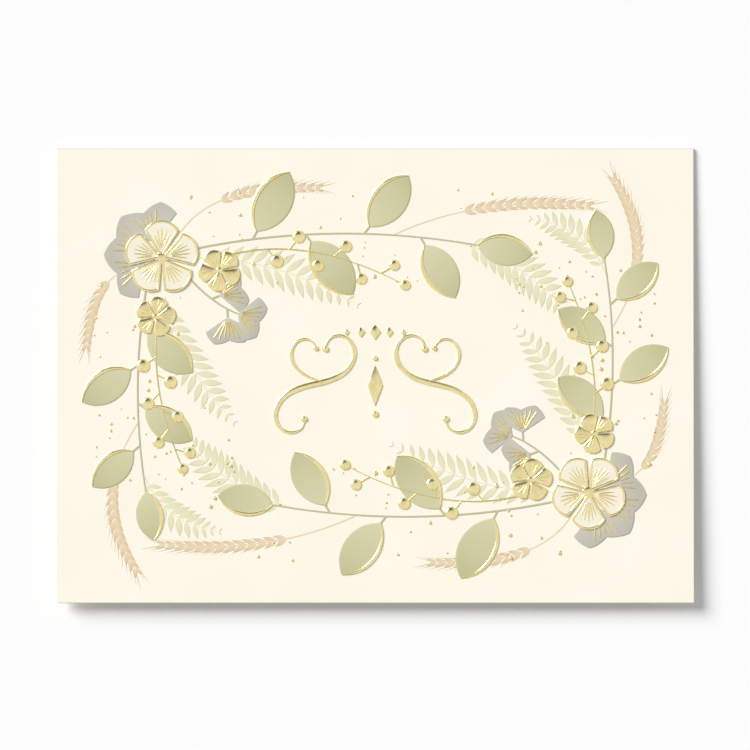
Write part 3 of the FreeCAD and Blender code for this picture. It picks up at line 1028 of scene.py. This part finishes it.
def closed_blossoms():
    """Small blossoms of domed foil petals with three raised veins each."""
    rings = (
        (COVER, 1.0, SUNK), (COVER, 1.0, PETAL_LEVEL * 0.8), (COVER, 0.985, PETAL_LEVEL + 0.03),
        (0.0, 0.86, PETAL_LEVEL + 0.11), (0.0, 0.62, PETAL_LEVEL + 0.17),
        (0.0, 0.30, PETAL_LEVEL + 0.20),
    )
    motif = pad_mesh("petal", petal_outline(CLOSED_BLOSSOM), rings, CLOSED_BLOSSOM)
    places = []
    veins = []
    for middle, first, scale in side_blossoms():
        for turn in petal_turns(first):
            places.append((middle, turn, scale, 0.0))
            veins += petal_rays(middle, CLOSED_BLOSSOM * scale, turn, VEINS)
    keep(
        "foil_closed_blossoms", FOIL,
        copies(motif, both_ways(places), FOIL),
        raised_lines(both_tracks(veins), FOIL, top=PETAL_LEVEL + 0.18, crown=0.07),
    )


def open_petals():
    """Cream petals of the open blossoms, raised out of the card."""
    rings = (
        (COVER, 1.0, SUNK), (COVER, 1.0, PETAL_LEVEL * 0.8), (COVER, 0.99, PETAL_LEVEL + 0.02),
        (0.0, 0.90, PETAL_LEVEL + 0.05), (0.0, 0.55, PETAL_LEVEL + 0.03),
    )
    motif = pad_mesh("open_petal", petal_outline(OPEN_BLOSSOM), rings, OPEN_BLOSSOM)
    places = [(HEART, turn, 1.0, 0.0) for turn in petal_turns(OPEN_BLOSSOM_TURN)]
    # The petals' colour is a painted shade: darker than the card's, to offset the light the foil
    # lines bounce onto them
    keep("open_blossom_petals", SHADED_PETAL_CREAM, copies(motif, both_ways(places), SHADED_PETAL_CREAM))


def open_petal_lines():
    """Foil edges and ribs of the open blossoms' petals."""
    edges = []
    ribs = []
    inside = grown(petal_outline(OPEN_BLOSSOM), -PETAL_EDGE_INSET)
    for turn in petal_turns(OPEN_BLOSSOM_TURN):
        closed = turned(inside + inside[:1], turn)
        edges.append([(HEART + spot, PETAL_EDGE_HALF) for spot in closed])
        ribs += petal_rays(HEART, OPEN_BLOSSOM, turn, PETAL_RIBS)
    keep(
        "foil_open_blossom_lines", FOIL,
        raised_lines(both_tracks(edges), FOIL, top=PETAL_LEVEL + 0.09, crown=0.08),
        raised_lines(both_tracks(ribs), FOIL, top=PETAL_LEVEL + 0.10, crown=0.06),
    )


def dome_mesh(name, top, rings, count):
    """Low dome of radius 1, steep at its foot and flat at its top."""
    shell = bmesh.new()
    levels = [(1.0, SUNK)]
    for ring in range(rings):
        reach = math.cos(ring / rings * math.pi / 2)
        levels.append((reach, top * (1 - reach ** 3) ** 0.5))
    loops = []
    for reach, height in levels:
        corners = [polar(reach, 2 * math.pi * step / count) for step in range(count)]
        loops.append([shell.verts.new((*corner, height)) for corner in corners])
    add_walls(shell, loops)
    crown = shell.verts.new((0, 0, top))
    for index in range(count):
        shell.faces.new((loops[-1][index - 1], loops[-1][index], crown))
    return mesh_from(name, shell)


def bead_spots():
    """(Middle, radius) of all the garland's beads, hearts of blossoms first."""
    spots = [(HEART, OPEN_BLOSSOM * HEART_SHARE)]
    for middle, _, scale in side_blossoms():
        spots.append((middle, CLOSED_BLOSSOM * scale * HEART_SHARE))
    for branch in BEAD_BRANCHES:
        spots += [(middle, radius) for _, middle, radius in bead_places(branch)]
    return spots


def round_places(spots):
    """Places for domes on (middle, radius) spots."""
    return [(middle, 0.0, radius, 0.0) for middle, radius in spots]


def foil_beads(scroll_beads):
    """Domed foil beads of the sprays, the blossoms' hearts and the scrolls."""
    garland = round_places((middle, radius + COVER) for middle, radius in bead_spots())
    scrolls = round_places((middle, radius + COVER) for middle, radius in scroll_beads)
    motif = dome_mesh("bead", BEAD_LEVEL + 0.16, rings=7, count=24)
    keep("foil_beads", FOIL, copies(motif, both_ways(garland) + scrolls, FOIL))


SPRAY_SHARE = 0.55
SPRAY_STALK = 0.26


def bead_sprays():
    """Fine foil stems that carry the beads."""
    tracks = []
    for branch in BEAD_BRANCHES:
        tracks.append(stem_track(branch, STEM_WIDTH, share=SPRAY_SHARE))
        for foot, middle, _ in bead_places(branch):
            if middle != foot:
                tracks.append(straight_track(foot, middle, SPRAY_STALK))
    stems = raised_lines(both_tracks(tracks), LINE_FOIL, top=PRINT_LEVEL + 0.13, crown=0.06)
    keep("foil_bead_stems", LINE_FOIL, stems)


LEAF_CLEARANCE = 0.6
FAN_CLEARANCE = 0.62
DISC_CLEARANCE = 0.8


def clear_of_motifs(spot):
    """Tells if a place is on bare paper or a frond, not on a leaf, fan, blossom or bead."""
    for _, base, angle, scale, _ in leaf_places():
        local = turned([spot - base], -angle)[0]
        half = LEAF_LENGTH * scale / 2
        within = abs(local.x - half) < half + LEAF_CLEARANCE
        if within and abs(local.y) < LEAF_LENGTH * scale * LEAF_SWELL + LEAF_CLEARANCE:
            return False
    for _, base, angle, radius in fan_places():
        if (spot - base - polar(radius / 2, angle)).length < radius * FAN_CLEARANCE:
            return False
    discs = [(HEART, OPEN_BLOSSOM)] + bead_spots()
    discs += [(middle, CLOSED_BLOSSOM * scale) for middle, _, scale in side_blossoms()]
    return all((spot - middle).length > radius + DISC_CLEARANCE for middle, radius in discs)


def foil_specks():
    """Tiny foil dots strewn about the garlands, most of them small."""
    chance = random.Random(SPECK_SEED)
    least, most = SPECK_RADII
    spots = []
    for branch, count, band in SPECK_LINES:
        strewn = 0
        while strewn < count:
            share = chance.random()
            aside = polar(chance.uniform(-band, band), branch.heading(share) + math.pi / 2)
            spot = branch.at(share) + aside
            radius = least + (most - least) * chance.random() ** 2
            if clear_of_motifs(spot):
                spots.append((spot, radius))
                strewn += 1
    motif = dome_mesh("dot", 0.20, rings=3, count=10)
    keep("foil_specks", LINE_FOIL, copies(motif, both_ways(round_places(spots)), LINE_FOIL))


# Scroll ornament: strokes whose bend changes evenly along them

SCROLL_LENGTH = 56.0
SCROLL_STROKE = 1.5
SCROLL_POINTS = 16
ARC_POINTS = 4
SCROLL_MIDDLE = Vector((0.30, -0.045)) * SCROLL_LENGTH
SCROLL_LEAN = math.radians(-12)
MAIN_TURN = 4.6
SIDE_TURN = 4.3
SIDE_LEAN = math.radians(16)
SIDE_LENGTH = 0.42
SIDE_STROKE = 0.6
THIN_SHARE = 0.24
SIDE_ROOT = 0.045
SCROLL_BEAD = 0.60 * SCROLL_STROKE
SIDE_BEAD = 0.47 * SCROLL_STROKE
LOZENGE_HEIGHT = 11.0
LOZENGE_SHARE = 0.38
LOZENGE_MIDDLE = Vector((0, SCROLL_MIDDLE.y - 0.045 * LOZENGE_HEIGHT))
UPPER_BEAD = Vector((0, 0.70 * LOZENGE_HEIGHT))
LOWER_BEAD = Vector((0, -0.72 * LOZENGE_HEIGHT))
CREST = LOZENGE_MIDDLE + Vector((0, 1.36 * LOZENGE_HEIGHT))
CREST_STEP = 0.36
CREST_ASPECT = 1.3
CREST_SHARES = {-2: 0.06, -1: 0.095, 0: 0.14, 1: 0.095, 2: 0.06}


def spiral(length, first_bend, last_bend, middle_at_origin):
    """Points along a stroke whose bend runs evenly from first to last."""
    step = length / SCROLL_POINTS
    point = Vector((0, 0))
    heading = 0.0
    track = [point]
    middle, lean = point, heading
    for index in range(SCROLL_POINTS):
        bend = first_bend + (last_bend - first_bend) * (index + 0.5) / SCROLL_POINTS
        after = point + polar(step, heading + bend * step / 2)
        track += arc(point, after, -step / 2 * math.tan(bend * step / 4), ARC_POINTS)[1:]
        point = after
        heading += bend * step
        if index + 1 == SCROLL_POINTS // 2:
            middle, lean = point, heading
    if not middle_at_origin:
        return track
    return turned([spot - middle for spot in track], -lean)


def stroke_track(origin, angle, points, width, mirrored):
    """Swelled track along points, thin at both ends."""
    thin = width * THIN_SHARE
    track = []
    for index, spot in enumerate(turned(points, angle)):
        spot = origin + spot
        if mirrored:
            spot = Vector((-spot.x, spot.y))
        swell = math.sin(math.pi * index / (len(points) - 1))
        track.append((spot, (thin + (width - thin) * swell) / 2 + COVER))
    return track


def scroll_ornament():
    """Raised foil scrolls; gives the (middle, radius) of their beads."""
    tracks = []
    beads = []
    half = SCROLL_LENGTH / 2
    side = SCROLL_LENGTH * SIDE_LENGTH
    bend = 2 * MAIN_TURN / half
    main = spiral(SCROLL_LENGTH, bend, -bend, middle_at_origin=True)
    branch = spiral(side, 0.0, 2 * SIDE_TURN / side, middle_at_origin=False)
    root = SCROLL_MIDDLE - polar(SCROLL_LENGTH * SIDE_ROOT, SCROLL_LEAN)
    for mirrored in (False, True):
        track = stroke_track(SCROLL_MIDDLE, SCROLL_LEAN, main, SCROLL_STROKE, mirrored)
        tracks.append(track)
        beads += [(track[0][0], SCROLL_BEAD), (track[-1][0], SCROLL_BEAD)]
        track = stroke_track(root, SIDE_LEAN, branch, SCROLL_STROKE * SIDE_STROKE, mirrored)
        tracks.append(track)
        beads.append((track[-1][0], SIDE_BEAD))
    beads.append((LOZENGE_MIDDLE + LOWER_BEAD, SCROLL_BEAD))
    beads.append((LOZENGE_MIDDLE + UPPER_BEAD, SIDE_BEAD))
    keep("foil_scrolls", FOIL, raised_lines(tracks, FOIL, top=FOIL_LEVEL + 0.02, crown=0.10))
    return beads


def foil_lozenges():
    """Raised foil lozenges with a crease up their middle."""
    rings = (
        (COVER, 1.0, SUNK), (COVER, 1.0, FOIL_LEVEL), (COVER, 0.96, FOIL_LEVEL + 0.03),
        (0.0, 0.55, FOIL_LEVEL + 0.16), (0.0, 0.12, FOIL_LEVEL + 0.24),
    )
    sizes = [(LOZENGE_MIDDLE, LOZENGE_HEIGHT * LOZENGE_SHARE / 2, LOZENGE_HEIGHT / 2)]
    for step, share in CREST_SHARES.items():
        spot = CREST + Vector((step * LOZENGE_HEIGHT * CREST_STEP, 0))
        sizes.append((spot, LOZENGE_HEIGHT * share, LOZENGE_HEIGHT * share * CREST_ASPECT))
    meshes = []
    for spot, half_width, half_height in sizes:
        outline = [
            spot + Vector((half_width, 0)), spot + Vector((0, half_height)),
            spot - Vector((half_width, 0)), spot - Vector((0, half_height)),
        ]
        meshes.append(pad_mesh("lozenge", outline, rings, CARD_WIDTH))
    keep("foil_lozenges", FOIL, *meshes)


# The pieces in order, from the flattest print to the highest foil

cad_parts[CARD].data.materials.clear()
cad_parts[CARD].data.materials.append(CARD_STOCK)

fern_fronds()
wheat_ears()
garland_stems()
fan_leaves()
sage_leaves()
leaf_rims()
fan_ribs()
open_petals()
open_petal_lines()
closed_blossoms()
scroll_beads = scroll_ornament()
foil_lozenges()
bead_sprays()
foil_beads(scroll_beads)
foil_specks()


# Table, light and camera

TABLE_REACH = 5.0
TABLE_TOP = -0.02 * MM
SKY_LEVEL = 0.40
LAMP_DIRECTION = (-1.32, 1.0, 1.15)
LAMP_WIDTH = math.radians(32)
LAMP_LEVEL = 3.20

# Each dark card: where it hangs, the degrees within which it is full and beyond which it is
# gone, and its depth
DARK_CARDS = (
    ((-0.10, 0.56, 1.0), 10, 24, 0.90),
    ((-0.10, 1.25, 1.0), 6, 20, 0.36),
    ((0.05, -1.0, 0.75), 4, 16, 0.50),
)

# The photo's frame and the card in it in pixels, heights of the camera and of the front
# leaf's middle in metres, and the sensor in millimetres
FRAME_PIXELS = 750.0
CARD_PIXELS = 637.0
CAMERA_HEIGHT = 1.6
LEAF_HEIGHT = 0.0026
SENSOR_WIDTH = 36.0


def add_table():
    """White table under the card, a hair below it so that the two faces don't coincide."""
    mesh = bpy.data.meshes.new("table")
    corners = ((-1, -1), (1, -1), (1, 1), (-1, 1))
    mesh.from_pydata(
        [(x * TABLE_REACH, y * TABLE_REACH, TABLE_TOP) for x, y in corners], [], [(0, 1, 2, 3)])
    mesh.materials.append(white_table())
    put("table", mesh)


def add_lamp():
    """One soft window light from the upper left."""
    lamp = bpy.data.lights.new("window", "SUN")
    lamp.energy = LAMP_LEVEL
    lamp.angle = LAMP_WIDTH
    window = put("window", lamp)
    window.rotation_euler = Vector(LAMP_DIRECTION).to_track_quat("Z", "Y").to_euler()


def add_sky():
    """An even sky.

    Metal and the camera see a white studio instead, with dark cards beyond the top of the
    greeting card and below it, which draw the edges of the embossed foil.
    """
    world = bpy.data.worlds.new("studio")
    bpy.context.scene.world = world
    world.use_nodes = True
    tree = world.node_tree
    direction = add(tree, "ShaderNodeTexCoord").outputs["Generated"]
    studio = 1.0
    for toward, inner, outer, depth in DARK_CARDS:
        nearness = add(tree, "ShaderNodeVectorMath", {"operation": "DOT_PRODUCT"}, {
            0: direction, 1: Vector(toward).normalized(),
        }).outputs["Value"]
        shade = add(tree, "ShaderNodeMapRange", {"interpolation_type": "SMOOTHSTEP"}, {
            "Value": nearness,
            "From Min": math.cos(math.radians(outer)),
            "From Max": math.cos(math.radians(inner)),
            "To Max": depth,
        })
        left = add(tree, MATH, {"operation": "SUBTRACT"}, {0: 1.0, 1: shade})
        studio = add(tree, MATH, {"operation": "MULTIPLY"}, {0: studio, 1: left})
    path = add(tree, "ShaderNodeLightPath").outputs
    seen = add(tree, MATH, {"operation": "ADD"}, {
        0: path["Is Camera Ray"], 1: path["Is Glossy Ray"],
    })
    seen = add(tree, MATH, {"operation": "ADD", "use_clamp": True}, {
        0: seen, 1: path["Is Transmission Ray"],
    })
    level = add(tree, "ShaderNodeMix", inputs={"Factor": seen, 2: SKY_LEVEL, 3: studio})
    wire(tree.nodes["Background"], {"Color": linear("#ffffff"), "Strength": level})


def add_camera():
    """Long lens straight above, framed as in the photo."""
    frame_width = CARD_WIDTH * MM * FRAME_PIXELS / CARD_PIXELS
    lens = bpy.data.cameras.new("camera")
    lens.sensor_width = SENSOR_WIDTH
    lens.sensor_fit = "HORIZONTAL"
    lens.lens = SENSOR_WIDTH * (CAMERA_HEIGHT - LEAF_HEIGHT) / frame_width
    lens.clip_end = 50.0
    camera = put("camera", lens)
    camera.location = (0, 0, CAMERA_HEIGHT)
    bpy.context.scene.camera = camera


add_table()
add_lamp()
add_sky()
add_camera()
bpy.context.scene.view_settings.view_transform = "Standard"
